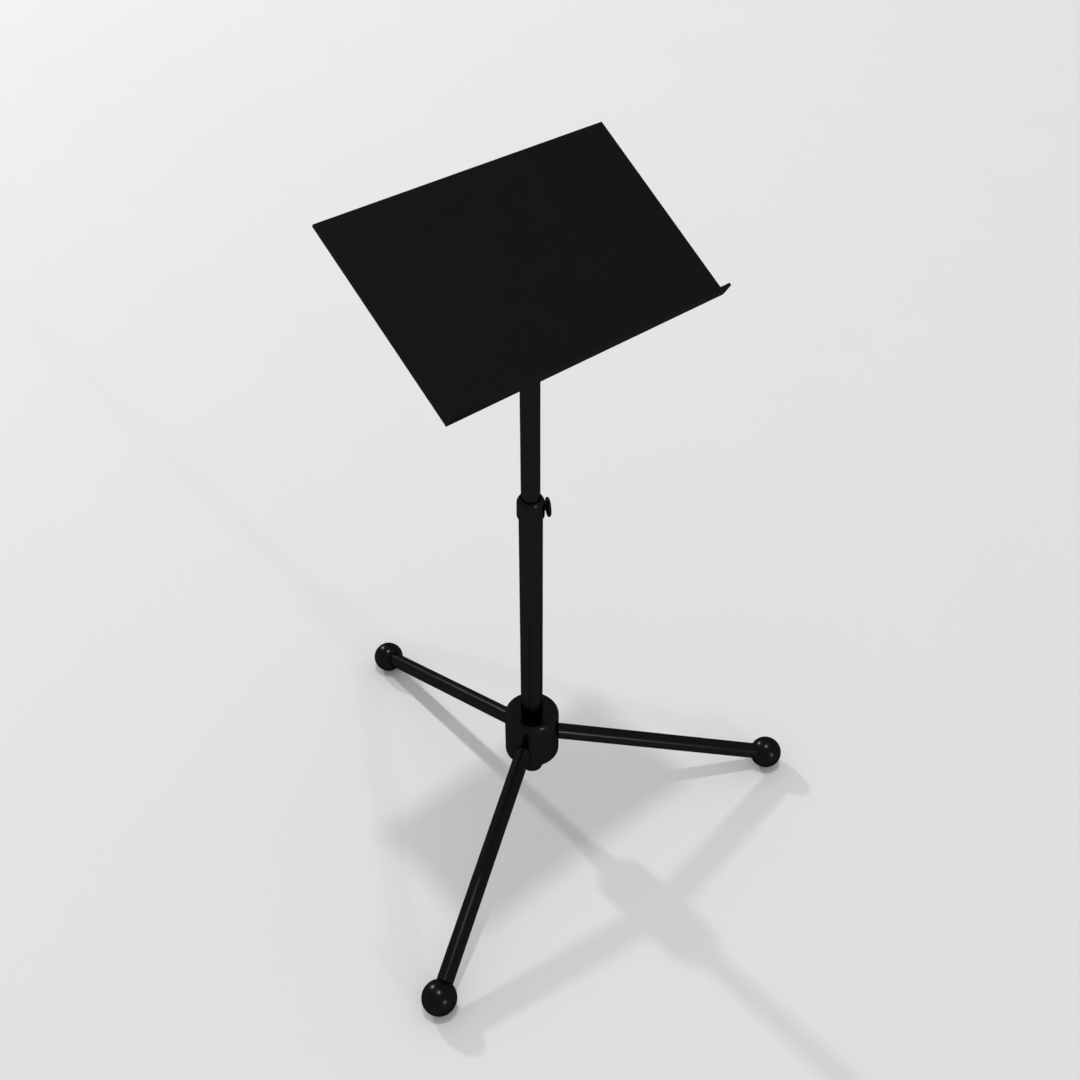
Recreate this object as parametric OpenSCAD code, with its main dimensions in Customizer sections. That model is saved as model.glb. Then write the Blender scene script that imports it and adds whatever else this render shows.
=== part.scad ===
// Three-legged music stand with a flat desk.
// The stand faces -Y and +X is the player's right. The origin lies on the floor, on the pole's axis.
// A heavy round hub holds the lower tube and three fixed legs on ball feet. The upper tube slides and
// turns in the lower one, under a collar with a clamp screw, and carries a friction tilt head. The
// desk is a shallow steel pan with a ledge along its bottom edge, on a bracket that tilts on the head.

/* [Legs] */
// Distance of each ball foot's centre from the pole's axis
foot_circle_r = 442; // [400:1:480]
// Diameter of a ball foot
ball_d = 56.6; // [50:0.2:64]
// Outside diameter of a leg tube
leg_d = 27.6; // [24:0.2:30]
// Height at which the legs' axes meet the pole's axis
leg_meet_z = 188.5; // [182:0.5:194]
// Directions of the front left, front right and back legs
leg_turns = [-150, -30, 90];

/* [Hub] */
// Diameter of the hub
hub_d = 92.8; // [88:0.2:104]
// Height of the hub's underside above the floor
hub_base_z = 141; // [138:0.5:144]
// Height of the hub itself, before its top is faced off
hub_h = 95.6; // [92:0.2:104]
// How much of the rounding the flat face on the hub's top takes off
hub_facing = 1.9; // [0:0.1:4]
// Rounding of the hub's top edge
hub_top_round = 14.3; // [6:0.1:20]

/* [Column] */
// Outside diameter of the lower tube
lower_tube_d = 37; // [36.6:0.1:37.4]
// Height of the lower tube's bottom end above the floor
lower_tube_z = 98; // [90:1:110]
// Outside diameter of the upper tube
upper_tube_d = 29.3; // [29:0.1:29.6]
// Height of the upper tube's bottom end above the floor
upper_tube_z = 400; // [400:1:440]
// Wall of every tube
tube_wall = 1.5; // [1.2:0.1:1.6]
// Outside diameter of the collar
collar_d = 42.6; // [41.6:0.2:44]
// Height of the collar's bottom edge above the floor
collar_z = 661; // [656:0.5:664]
// Height of the collar itself
collar_h = 38; // [36:0.5:42]

/* [Clamp] */
// Direction of the clamp screw around the pole
clamp_turn = -30; // [-60:1:60]
// Height of the clamp screw above the collar's bottom edge
clamp_rise = 13; // [11:0.5:16]
// Diameter of the clamp knob
clamp_knob_d = 30; // [24:1:36]
// Thickness of the clamp knob
clamp_knob_t = 5.5; // [5:0.5:6]
// Distance of the clamp knob's middle from the pole's axis
clamp_knob_r = 26.7; // [26.4:0.1:27]

/* [Desk] */
// Width of the desk
desk_w = 480; // [400:5:560]
// Height of the desk along its slope, with the ledge's thickness
desk_h = 301; // [260:1:340]
// How far the desk's middle lies down the slope from the pole's axis
desk_drop = 4; // [0:0.5:8]
// Depth of the desk's folded rim
rim_depth = 4.6; // [4.4:0.1:6]
// Thickness of the desk's sheet steel
sheet_t = 1.2; // [1:0.1:1.2]
// How far the ledge stands out in front of the desk
ledge_reach = 18.7; // [15:0.1:30]
// Thickness of the ledge
ledge_t = 4.3; // [3:0.1:5]
// Height at which the pole's axis meets the front of the desk
desk_axis_z = 1088.6; // [1080:0.2:1100]
// Angle by which the desk leans back from upright
desk_lean = 57.3; // [50:0.1:65]

/* [Tilt head] */
// Distance of the tilt axis behind the desk's rim
pivot_gap = 35; // [34:0.5:38]
// Diameter of the tilt knob
tilt_knob_d = 38; // [30:1:44]

/* [Hidden] */
$fn = 72;

// Clearance of a running fit across a joint, and of a seat within one assembly
run = 0.05;
seat = 0.02;
// Length by which a cutting tool passes the face it cuts
over = 1;

satin_black = [0.06, 0.06, 0.065];
moulded_black = [0.08, 0.08, 0.085];
rubber_black = [0.05, 0.05, 0.05];
nylon_white = [0.86, 0.85, 0.8];
steel = [0.62, 0.62, 0.64];
brass = [0.75, 0.6, 0.3];

ball_r = ball_d / 2;
leg_r = leg_d / 2;
hub_r = hub_d / 2;
hub_foot_round = 1.1;
lower_r = lower_tube_d / 2;
upper_r = upper_tube_d / 2;

// Each ball foot stands on a small flat, so its centre is that much lower than its radius
foot_flat_drop = 0.5;
ball_z = ball_r - foot_flat_drop;
leg_fall = atan((leg_meet_z - ball_z) / foot_circle_r);
leg_axis_len = foot_circle_r / cos(leg_fall);
leg_start = 27;
leg_end = leg_axis_len - 8;
leg_bore_r = leg_r - tube_wall;
root_plug_len = 32;
foot_plug_len = 26;
foot_stud_r = 5;
foot_stud_len = 15;

// Grub screws, all M8 with a 4 mm hexagon socket
grub_r = 4;
grub_socket_r = 2.31;
grub_socket_depth = 5;
leg_screw_r = 36;
leg_screw_tip_z = leg_meet_z - leg_screw_r * tan(leg_fall) - 3;
leg_screw_recess = 1.5;
pole_screw_turn = 30;
pole_screw_rises = [24, 71];
pole_screw_end_r = 34;

lower_bore_r = lower_r - tube_wall;
pole_screw_start_r = lower_bore_r + 0.1;
collar_lip = 9;
lower_tube_top_z = collar_z + collar_h - collar_lip;
end_plug_t = 5.6;
end_plug_round = 4.4;
end_plug_spigot = 14;

collar_r = collar_d / 2;
collar_foot_round = 2.8;
collar_top_round = 12.6;
collar_mouth_r = upper_r + 1.5;
bush_len = 50;
bush_flange_t = 2;

clamp_z = collar_z + clamp_rise;
clamp_screw_r = 3;
clamp_insert_r = 5;
clamp_insert_end = collar_r + 0.8;
clamp_pad_r = 4;
pad_gap = 0.03;
clamp_pad_back = upper_r + 1.35;
clamp_knob_neck_r = 6;
clamp_knob_neck_start = clamp_insert_end + 0.3;
clamp_screw_end = clamp_knob_r + clamp_knob_t / 2 - 1.4;

// The upper tube's lower end: a nylon bush held between a plug's flange and a snap ring
upper_bore_r = upper_r - tube_wall;
upper_tube_top_z = 1016;
slide_bush_len = 40;
slide_bush_z = upper_tube_z + 0.2;
tail_plug_len = 25;
tail_flange_r = 16.2;
tail_flange_t = 4;
tail_vent_r = 4;
ring_z = slide_bush_z + slide_bush_len + 0.25;
ring_t = 1.1;
ring_r = 16.2;
ring_groove_r = upper_r - 0.6;
ring_gap_turn = 50;

// The desk's own frame: Y runs up the slope, Z out of its front, and its origin is where the pole's
// axis meets the front. The tilt axis lies on the pole's axis, behind the desk.
desk_back_turn = 90 - desk_lean;
pivot_depth = rim_depth + pivot_gap;
pivot_z = desk_axis_z - pivot_depth / cos(desk_back_turn);
pivot_y = -pivot_depth * tan(desk_back_turn);
desk_low_y = -desk_h / 2 - desk_drop;
ledge_back_t = 3;
ledge_back_h = 16;
ledge_stud_r = 2;
ledge_stud_len = 7;
ledge_stud_rise = 8;
ledge_stud_xs = [-200, -100, 0, 100, 200];
ledge_nut_r = 7 / sqrt(3);
ledge_nut_t = 3.2;

spigot_len = 30;
shoulder_r = 16.5;
shoulder_t = 6;
shoulder_foot_round = 1;
shoulder_top_round = 2;
tongue_t = 20;
tongue_r = 14;
roll_pin_r = 2.5;
roll_pin_bore_r = 1.5;
roll_pin_len = 28.6;

bolt_r = 4;
friction_washer_r = 13;
friction_washer_t = 1.4;
ear_t = 5;
ear_in = tongue_t / 2 + friction_washer_t + run;
ear_out = ear_in + ear_t;
ear_foot = 30;
bracket_w = 120;
bracket_below = 50;
bracket_above = 60;
bracket_t = 4;
bracket_back = sheet_t + bracket_t;
web_gap = tongue_r + 0.2;
web_t = 4;
stop_lip_reach = 21.2;
stop_web_reach = pivot_depth + 18;
bracket_stud_r = 2.5;
bracket_stud_len = 11;
bracket_stud_x = 48;
bracket_stud_ys = [-38, 48];
bracket_nut_r = 8 / sqrt(3);
bracket_nut_t = 4;
nut_flange_r = 5.9;
nut_flange_t = 1.2;

bolt_head_r = 9;
bolt_head_h = 4.5;
bolt_neck = 8;
bolt_end = 28;
washer_r = 8.4;
washer_t = 1.6;
washer_x = ear_out + run;
tilt_knob_start = washer_x + washer_t + run;
tilt_knob_neck = 4;
tilt_knob_neck_r = 7;
tilt_knob_t = 9;
tilt_insert_r = 5.5;
tilt_insert_end = 27;
tilt_bore_end = bolt_end + 0.4;

// ---- Shared shapes ----

// What an edge rounding takes off the upper outer corner of a profile
module corner_off(x, y, round_r) {
    translate([x - round_r, y - round_r])
        difference() {
            square(round_r + over);
            circle(round_r);
        }
}

// Upright solid cylinder with rounded bottom and top edges
module barrel(r, h, foot_round, top_round) {
    rotate_extrude()
        difference() {
            square([r, h]);
            if (top_round > 0) corner_off(r, h, top_round);
            if (foot_round > 0) mirror([0, 1]) corner_off(r, 0, foot_round);
        }
}

// Cylinder along +Z between two heights
module bar(r, from, to) {
    translate([0, 0, from])
        cylinder(r = r, h = to - from);
}

module pipe(r, bore_r, from, to) {
    difference() {
        bar(r, from, to);
        bar(bore_r, from - over, to + over);
    }
}

// Puts +Z along a leg, counted from where the legs' axes meet
module on_leg(turn) {
    translate([0, 0, leg_meet_z])
        rotate([0, 90 + leg_fall, turn])
            children();
}

// Puts +Z along a level line out of the pole's axis
module outwards(turn, z) {
    translate([0, 0, z])
        rotate([0, 90, turn])
            children();
}

// Puts +Z along the tilt axis, towards +X
module on_tilt_axis() {
    translate([0, 0, pivot_z])
        rotate([0, 90, 0])
            children();
}

module on_desk() {
    translate([0, 0, desk_axis_z])
        rotate([desk_back_turn, 0, 0])
            children();
}

// Hexagon socket sunk into a screw's end, which lies at height z
module hex_socket(z) {
    translate([0, 0, z])
        cylinder(r = grub_socket_r, h = grub_socket_depth + over, $fn = 6);
}

// Flat round knob with a fully rounded rim, along +Z from its lower face
module disc_knob(r, t) {
    rotate_extrude() {
        square([r - t / 2, t]);
        translate([r - t / 2, t / 2])
            intersection() {
                circle(t / 2);
                translate([0, -t / 2]) square(t);
            }
    }
}

// ---- Hub and legs ----

module leg_screw_shape(turn, r, from, to) {
    rotate([0, 0, turn])
        translate([leg_screw_r, 0, 0])
            bar(r, from, to);
}

module hub() {
    color(satin_black)
        difference() {
            translate([0, 0, hub_base_z])
                barrel(hub_r, hub_h, hub_foot_round, hub_top_round);
            bar(hub_r + over, hub_base_z + hub_h - hub_facing, hub_base_z + hub_h + over);
            bar(lower_r + seat, hub_base_z - over, hub_base_z + hub_h + over);
            for (turn = leg_turns) {
                on_leg(turn) bar(leg_r + seat, leg_start, hub_r + leg_r);
                leg_screw_shape(turn, grub_r + seat, hub_base_z - over, leg_screw_tip_z);
            }
            for (rise = pole_screw_rises)
                outwards(pole_screw_turn, hub_base_z + rise)
                    bar(grub_r + seat, lower_r - over, hub_r + over);
        }
}

module pole_set_screws() {
    color(steel)
        for (rise = pole_screw_rises)
            outwards(pole_screw_turn, hub_base_z + rise)
                difference() {
                    bar(grub_r, pole_screw_start_r, pole_screw_end_r);
                    hex_socket(pole_screw_end_r - grub_socket_depth);
                }
}

module leg_set_screws() {
    color(steel)
        for (turn = leg_turns)
            difference() {
                leg_screw_shape(turn, grub_r, hub_base_z + leg_screw_recess, leg_screw_tip_z);
                rotate([0, 0, turn])
                    translate([leg_screw_r, 0, hub_base_z + leg_screw_recess - over])
                        hex_socket(0);
            }
}

module leg(turn) {
    color(satin_black)
        difference() {
            on_leg(turn) pipe(leg_r, leg_bore_r, leg_start, leg_end);
            leg_screw_shape(turn, grub_r + seat, hub_base_z, leg_screw_tip_z);
        }
}

// Solid plug in the leg's upper end, for the grub screw to bite on
module root_plug(turn) {
    color(steel)
        difference() {
            on_leg(turn) bar(leg_bore_r - seat, leg_start, leg_start + root_plug_len);
            leg_screw_shape(turn, grub_r + seat, hub_base_z, leg_screw_tip_z + seat);
        }
}

// Plug in the leg's lower end, with the stud that the ball is screwed on
module foot_plug(turn) {
    color(steel)
        on_leg(turn) {
            bar(leg_bore_r - seat, leg_end - foot_plug_len, leg_end);
            bar(foot_stud_r, leg_end, leg_end + foot_stud_len);
        }
}

module ball_foot(turn) {
    color(rubber_black)
        difference() {
            rotate([0, 0, turn])
                translate([foot_circle_r, 0, ball_z])
                    sphere(ball_r);
            translate([0, 0, -ball_r])
                bar(foot_circle_r * 2, 0, ball_r);
            on_leg(turn) {
                bar(leg_r + seat, leg_end - ball_d, leg_end);
                bar(foot_stud_r + seat, leg_end - over, leg_end + foot_stud_len + seat);
            }
        }
}

// ---- Lower tube, collar and clamp ----

module lower_tube() {
    color(satin_black)
        difference() {
            pipe(lower_r, lower_bore_r, lower_tube_z, lower_tube_top_z);
            for (rise = pole_screw_rises)
                outwards(pole_screw_turn, hub_base_z + rise)
                    bar(grub_r + seat, lower_bore_r - tube_wall, lower_r + over);
            outwards(clamp_turn, clamp_z)
                bar(clamp_insert_r + seat, lower_bore_r - tube_wall, lower_r + over);
        }
}

module pole_end_plug() {
    color(moulded_black) {
        translate([0, 0, lower_tube_z - end_plug_t])
            barrel(lower_r, end_plug_t, end_plug_round, 0);
        bar(lower_bore_r - seat, lower_tube_z, lower_tube_z + end_plug_spigot);
    }
}

module clamp_collar() {
    color(satin_black)
        difference() {
            translate([0, 0, collar_z])
                barrel(collar_r, collar_h, collar_foot_round, collar_top_round);
            bar(lower_r + seat, collar_z - over, lower_tube_top_z + bush_flange_t);
            bar(collar_mouth_r, collar_z, collar_z + collar_h + over);
            outwards(clamp_turn, clamp_z)
                bar(clamp_insert_r + seat, lower_bore_r, collar_r + over);
        }
}

// Nylon sleeve in the lower tube's mouth, with the window that the clamp pad works through
module guide_bush() {
    color(moulded_black)
        difference() {
            union() {
                bar(lower_bore_r - seat, lower_tube_top_z - bush_len, lower_tube_top_z);
                bar(lower_r, lower_tube_top_z, lower_tube_top_z + bush_flange_t);
            }
            bar(upper_r + run, lower_tube_top_z - bush_len - over, collar_z + collar_h);
            outwards(clamp_turn, clamp_z)
                bar(clamp_pad_r + run, upper_r - over, lower_r);
        }
}

// Threaded insert that fixes the collar to the tube and carries the clamp screw
module clamp_insert() {
    color(steel)
        outwards(clamp_turn, clamp_z)
            pipe(clamp_insert_r, clamp_screw_r + run, lower_bore_r + run, clamp_insert_end);
}

// Pad with a hollow face that closes on the upper tube
module clamp_pad() {
    color(nylon_white)
        difference() {
            outwards(clamp_turn, clamp_z)
                bar(clamp_pad_r, upper_r - over, clamp_pad_back);
            bar(upper_r + pad_gap, clamp_z - clamp_pad_r - over, clamp_z + clamp_pad_r + over);
        }
}

module clamp_screw() {
    color(steel)
        outwards(clamp_turn, clamp_z)
            bar(clamp_screw_r, clamp_pad_back + run, clamp_screw_end);
}

module clamp_knob() {
    color(moulded_black)
        outwards(clamp_turn, clamp_z)
            difference() {
                union() {
                    translate([0, 0, clamp_knob_r - clamp_knob_t / 2])
                        disc_knob(clamp_knob_d / 2, clamp_knob_t);
                    bar(clamp_knob_neck_r, clamp_knob_neck_start, clamp_knob_r);
                }
                bar(clamp_screw_r + seat, clamp_knob_neck_start - over, clamp_screw_end + seat);
            }
}

// ---- Upper tube and what slides with it ----

module slide_bush() {
    color(nylon_white)
        pipe(lower_bore_r - run, upper_r + run, slide_bush_z, slide_bush_z + slide_bush_len);
}

module upper_tube() {
    color(satin_black)
        difference() {
            pipe(upper_r, upper_bore_r, upper_tube_z, upper_tube_top_z);
            pipe(ring_r, ring_groove_r, ring_z - run, ring_z + ring_t + run);
            outwards(0, upper_tube_top_z - spigot_len / 2)
                bar(roll_pin_r + seat, -upper_r - over, upper_r + over);
        }
}

module tail_plug() {
    color(moulded_black)
        difference() {
            union() {
                bar(tail_flange_r, upper_tube_z - tail_flange_t, upper_tube_z);
                bar(upper_bore_r - seat, upper_tube_z, upper_tube_z + tail_plug_len);
            }
            bar(tail_vent_r, upper_tube_z - tail_flange_t - over, upper_tube_z + tail_plug_len + over);
        }
}

// Open steel ring in the tube's groove
module snap_ring() {
    gap_edge = 2 * ring_r * [cos(ring_gap_turn / 2), sin(ring_gap_turn / 2)];
    color(steel)
        difference() {
            pipe(ring_r, ring_groove_r + seat, ring_z, ring_z + ring_t);
            translate([0, 0, ring_z - over])
                linear_extrude(ring_t + 2 * over)
                    polygon([[0, 0], [gap_edge[0], -gap_edge[1]], gap_edge]);
        }
}

// ---- Tilt head ----

module tilt_head() {
    color(satin_black)
        difference() {
            union() {
                bar(upper_bore_r - seat, upper_tube_top_z - spigot_len, upper_tube_top_z);
                translate([0, 0, upper_tube_top_z])
                    barrel(shoulder_r, shoulder_t, shoulder_foot_round, shoulder_top_round);
                translate([-tongue_t / 2, -tongue_r, upper_tube_top_z + shoulder_t])
                    cube([tongue_t, 2 * tongue_r, pivot_z - upper_tube_top_z - shoulder_t]);
                on_tilt_axis() bar(tongue_r, -tongue_t / 2, tongue_t / 2);
            }
            on_tilt_axis() bar(bolt_r + run, -tongue_t, tongue_t);
            outwards(0, upper_tube_top_z - spigot_len / 2)
                bar(roll_pin_r + seat, -upper_r - over, upper_r + over);
        }
}

module head_roll_pin() {
    color(steel)
        outwards(0, upper_tube_top_z - spigot_len / 2)
            pipe(roll_pin_r, roll_pin_bore_r, -roll_pin_len / 2, roll_pin_len / 2);
}

module friction_washers() {
    color(nylon_white)
        for (side = [0, 1])
            mirror([side, 0, 0])
                on_tilt_axis()
                    pipe(friction_washer_r, bolt_r + run, tongue_t / 2, tongue_t / 2 + friction_washer_t);
}

// ---- Desk ----

// Sheet-steel pan, open at the back and along its bottom edge
module desk_panel() {
    face_y = desk_low_y + ledge_t;
    color(satin_black)
        on_desk()
            difference() {
                translate([-desk_w / 2, face_y, -rim_depth])
                    cube([desk_w, desk_h - ledge_t, rim_depth]);
                translate([sheet_t - desk_w / 2, face_y - over, -rim_depth - over])
                    cube([
                        desk_w - 2 * sheet_t,
                        desk_h - ledge_t - sheet_t + over,
                        rim_depth + over - sheet_t
                    ]);
            }
}

// Angle section: the ledge under the desk's bottom edge, and a low back flange inside the pan
module music_ledge() {
    flange_w = desk_w - 2 * sheet_t - 2 * run;
    color(satin_black)
        on_desk()
            difference() {
                union() {
                    translate([-desk_w / 2, desk_low_y, -rim_depth])
                        cube([desk_w, ledge_t, rim_depth + ledge_reach]);
                    translate([-flange_w / 2, desk_low_y + ledge_t, -sheet_t - ledge_back_t])
                        cube([flange_w, ledge_back_h, ledge_back_t]);
                }
                at_ledge_studs()
                    bar(ledge_stud_r + seat, -sheet_t - ledge_back_t - over, over - sheet_t);
            }
}

module at_ledge_studs() {
    for (x = ledge_stud_xs)
        translate([x, desk_low_y + ledge_t + ledge_stud_rise, 0])
            children();
}

module at_bracket_studs() {
    for (x = [-bracket_stud_x, bracket_stud_x], y = bracket_stud_ys)
        translate([x, pivot_y + y, 0])
            children();
}

module ledge_studs() {
    color(steel)
        on_desk()
            at_ledge_studs()
                bar(ledge_stud_r, -sheet_t - ledge_stud_len, -sheet_t);
}

module ledge_nuts() {
    back = sheet_t + ledge_back_t;
    color(steel)
        on_desk()
            at_ledge_studs()
                difference() {
                    translate([0, 0, -back - ledge_nut_t])
                        cylinder(r = ledge_nut_r, h = ledge_nut_t, $fn = 6);
                    bar(ledge_stud_r + seat, -back - ledge_nut_t - over, -back + over);
                }
}

// ---- Bracket ----

// Outline of an ear: a foot on the base plate, drawn in to a round end about the tilt axis
module ear_outline() {
    base_x = pivot_depth - bracket_back;
    reach = norm([base_x, ear_foot]);
    spread = acos(tongue_r / reach) - atan(ear_foot / base_x);
    tangent = tongue_r * [cos(spread), sin(spread)];
    circle(tongue_r);
    polygon([
        [base_x, -ear_foot],
        [base_x, ear_foot],
        tangent,
        [tangent[0], -tangent[1]]
    ]);
}

// Webs between the ears: the low one stops the desk upright, the deep one stops it level
module stop_webs() {
    translate([-ear_in - over, pivot_y - web_gap - web_t, -sheet_t - bracket_t - stop_lip_reach])
        cube([2 * (ear_in + over), web_t, stop_lip_reach + over]);
    translate([-ear_in - over, pivot_y + web_gap, -stop_web_reach])
        cube([2 * (ear_in + over), web_t, stop_web_reach - bracket_back + over]);
}

module desk_bracket() {
    color(satin_black)
        on_desk()
            difference() {
                union() {
                    translate([-bracket_w / 2, pivot_y - bracket_below, -bracket_back])
                        cube([bracket_w, bracket_below + bracket_above, bracket_t]);
                    for (side = [0, 1])
                        mirror([side, 0, 0])
                            translate([-ear_in, pivot_y, -pivot_depth])
                                rotate([0, -90, 0])
                                    linear_extrude(ear_t)
                                        ear_outline();
                    stop_webs();
                }
                at_bracket_studs()
                    bar(bracket_stud_r + seat, -bracket_back - over, over);
                translate([0, pivot_y, -pivot_depth]) {
                    rotate([0, 90, 0])
                        bar(bolt_r + seat, 0, ear_out + over);
                    translate([-ear_out - over, -bolt_neck / 2 - seat, -bolt_neck / 2 - seat])
                        cube([ear_t + 2 * over, bolt_neck + 2 * seat, bolt_neck + 2 * seat]);
                }
            }
}

module bracket_studs() {
    color(steel)
        on_desk()
            at_bracket_studs()
                bar(bracket_stud_r, -sheet_t - bracket_stud_len, -sheet_t);
}

module bracket_nuts() {
    color(steel)
        on_desk()
            at_bracket_studs()
                difference() {
                    union() {
                        bar(nut_flange_r, -bracket_back - nut_flange_t, -bracket_back);
                        translate([0, 0, -bracket_back - nut_flange_t - bracket_nut_t])
                            cylinder(r = bracket_nut_r, h = bracket_nut_t, $fn = 6);
                    }
                    bar(bracket_stud_r + seat, -bracket_back - nut_flange_t - bracket_nut_t - over, 0);
                }
}

// ---- Tilt clamp ----

// Round-headed bolt whose square neck sits in the left ear
module tilt_bolt() {
    dome_r = (bolt_head_r * bolt_head_r + bolt_head_h * bolt_head_h) / (2 * bolt_head_h);
    color(steel) {
        on_tilt_axis() {
            bar(bolt_r, -ear_out, bolt_end);
            intersection() {
                translate([0, 0, dome_r - ear_out - bolt_head_h]) sphere(dome_r);
                bar(bolt_head_r + over, -ear_out - bolt_head_h - over, -ear_out);
            }
        }
        translate([0, 0, pivot_z])
            rotate([desk_back_turn, 0, 0])
                translate([-ear_out, -bolt_neck / 2, -bolt_neck / 2])
                    cube([ear_t, bolt_neck, bolt_neck]);
    }
}

module thrust_washer() {
    color(steel)
        on_tilt_axis()
            pipe(washer_r, bolt_r + run, washer_x, washer_x + washer_t);
}

module tilt_knob() {
    neck_end = tilt_knob_start + tilt_knob_neck;
    color(moulded_black)
        on_tilt_axis()
            difference() {
                union() {
                    bar(tilt_knob_neck_r, tilt_knob_start, neck_end + over);
                    translate([0, 0, neck_end])
                        disc_knob(tilt_knob_d / 2, tilt_knob_t);
                }
                bar(tilt_insert_r + seat, tilt_knob_start - over, tilt_insert_end);
                bar(bolt_r + run, tilt_insert_end - over, tilt_bore_end);
            }
}

module tilt_knob_insert() {
    color(brass)
        on_tilt_axis()
            pipe(tilt_insert_r, bolt_r + run, tilt_knob_start, tilt_insert_end);
}

hub();
pole_set_screws();
leg_set_screws();
leg(leg_turns[0]);  // front_left_leg
leg(leg_turns[1]);  // front_right_leg
leg(leg_turns[2]);  // back_leg
root_plug(leg_turns[0]);  // front_left_root_plug
root_plug(leg_turns[1]);  // front_right_root_plug
root_plug(leg_turns[2]);  // back_root_plug
foot_plug(leg_turns[0]);  // front_left_foot_plug
foot_plug(leg_turns[1]);  // front_right_foot_plug
foot_plug(leg_turns[2]);  // back_foot_plug
ball_foot(leg_turns[0]);  // front_left_ball_foot
ball_foot(leg_turns[1]);  // front_right_ball_foot
ball_foot(leg_turns[2]);  // back_ball_foot
lower_tube();
pole_end_plug();
clamp_collar();
guide_bush();
clamp_insert();
clamp_pad();
clamp_screw();
clamp_knob();
slide_bush();
upper_tube();
tail_plug();
snap_ring();
tilt_head();
head_roll_pin();
friction_washers();
desk_panel();
music_ledge();
ledge_studs();
ledge_nuts();
desk_bracket();
bracket_studs();
bracket_nuts();
tilt_bolt();
thrust_washer();
tilt_knob();
tilt_knob_insert();
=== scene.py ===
"""Looks of a three-legged music stand with a flat tilting desk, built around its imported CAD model."""
import math

import bmesh
import bpy
from mathutils import Euler, Matrix, Vector


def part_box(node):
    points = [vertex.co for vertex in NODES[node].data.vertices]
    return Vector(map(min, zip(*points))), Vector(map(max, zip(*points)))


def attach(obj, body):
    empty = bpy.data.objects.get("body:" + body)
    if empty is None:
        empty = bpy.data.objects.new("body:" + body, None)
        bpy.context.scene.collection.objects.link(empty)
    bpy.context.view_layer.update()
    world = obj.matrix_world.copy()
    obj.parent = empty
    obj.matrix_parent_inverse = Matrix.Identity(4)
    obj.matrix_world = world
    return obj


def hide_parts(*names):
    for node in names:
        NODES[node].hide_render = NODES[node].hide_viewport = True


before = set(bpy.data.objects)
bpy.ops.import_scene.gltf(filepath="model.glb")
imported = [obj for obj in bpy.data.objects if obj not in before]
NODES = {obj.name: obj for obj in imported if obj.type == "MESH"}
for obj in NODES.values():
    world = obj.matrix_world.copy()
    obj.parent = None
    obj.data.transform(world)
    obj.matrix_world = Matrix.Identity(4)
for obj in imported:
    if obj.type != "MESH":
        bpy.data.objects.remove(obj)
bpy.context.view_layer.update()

bl_info = {
    "name": "Music Stand",
    "version": (1, 0, 0),
    "blender": (4, 5, 0),
    "location": "3D View > Sidebar > Music Stand",
    "description": "Builds the pieces and finishes of a music stand on its CAD frame",
    "category": "Object",
}

MM = 0.001

# The desk leans back by this much from upright, and its own frame turns about X by the rest
DESK_LEAN = math.radians(57.3)
DESK_TURN = math.pi / 2 - DESK_LEAN
# The clamp knob points this way round the pole, from X
CLAMP_TURN = math.radians(-30)
# Corners of the CAD mesh closer than this are one corner
MERGE_GAP = 2e-6
# Faces of the CAD mesh that differ by less than this are one face
FLAT_ANGLE = math.radians(0.4)
# Edges sharper than this stay visible as edges
CORNER_ANGLE = math.radians(28)

# Radius and height in millimetres, along each knob's axis, of its bore, stem and neck
CLAMP_KNOB_STEM = [(0, 28.07), (3.02, 28.07), (3.02, 22.4), (5.7, 22.4), (6.0, 22.7), (6.0, 23.3),
                   (6.3, 23.8), (7.0, 23.95)]
TILT_KNOB_STEM = [(0, 28.4), (4.05, 28.4), (4.05, 27.0), (5.52, 27.0), (5.52, 18.15), (6.7, 18.15),
                  (7.0, 18.45), (7.0, 21.2), (7.3, 21.8), (8.1, 22.15)]
# Radius and depth below the rim's face, in millimetres, of each knob's dished face
CLAMP_KNOB_FACE = [(11.2, 0), (10.8, 0.12), (10.5, 0.45), (10.1, 0.55), (4.6, 0.6), (4.2, 0.5),
                   (3.9, 0.2), (3.5, 0.1), (0, 0.1)]
TILT_KNOB_FACE = [(12.9, 0), (12.4, 0.15), (12.1, 0.5), (11.6, 0.7), (5.8, 0.85), (5.3, 0.7),
                  (4.9, 0.35), (4.3, 0.2), (0, 0.15)]
KNOB_SIDES = 96
FLANGE_SIDES = 48
BORE_SIDES = 32
BEAD_SIDES = 14
# Radius of the flat inside a nut's chamfer, as a share of its width across flats
NUT_FACE_SHARE = 0.47
CHAMFER_SLOPE = math.sqrt(3)

FLOOR_HALF = 40.0
# Painted light: the floor's colour grows paler between these distances behind the stand, from one share of
# its tone to another, as a painted stand-in for the light being brighter there
PAINTED_LIGHT_FROM, PAINTED_LIGHT_TO = -0.5, 5.0
PAINTED_LIGHT_FRONT_SHARE, PAINTED_LIGHT_BACK_SHARE = 1.004, 1.11
MOTTLE_SHARE, MOTTLE_TONE = 0.04, 0.85
# Direction round the stand and height of each studio lamp, and the width it seems to have, in degrees
LAMPS = {"back": (90.4, 30.5, 3.5), "top": (90.0, 89.5, 3.4), "front": (-90.7, 19.1, 2.0)}
CAMERA_PLACE = (-0.98811, -1.15815, 1.89121)
CAMERA_PITCH, CAMERA_HEADING = math.radians(49.997), math.radians(-40.995)
FIELD_OF_VIEW = math.radians(45.0)


# ---- Node trees ----

def wire(tree, socket, value):
    """Links a socket, or sets the value that it has without a link."""
    if isinstance(value, bpy.types.NodeSocket):
        tree.links.new(value, socket)
    else:
        socket.default_value = value


def add_node(tree, kind, inputs=None, **settings):
    """Adds a node with its settings and with inputs given by name or number."""
    node = tree.nodes.new(kind)
    for key, value in settings.items():
        setattr(node, key, value)
    for key, value in (inputs or {}).items():
        wire(tree, node.inputs[key], value)
    return node


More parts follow.
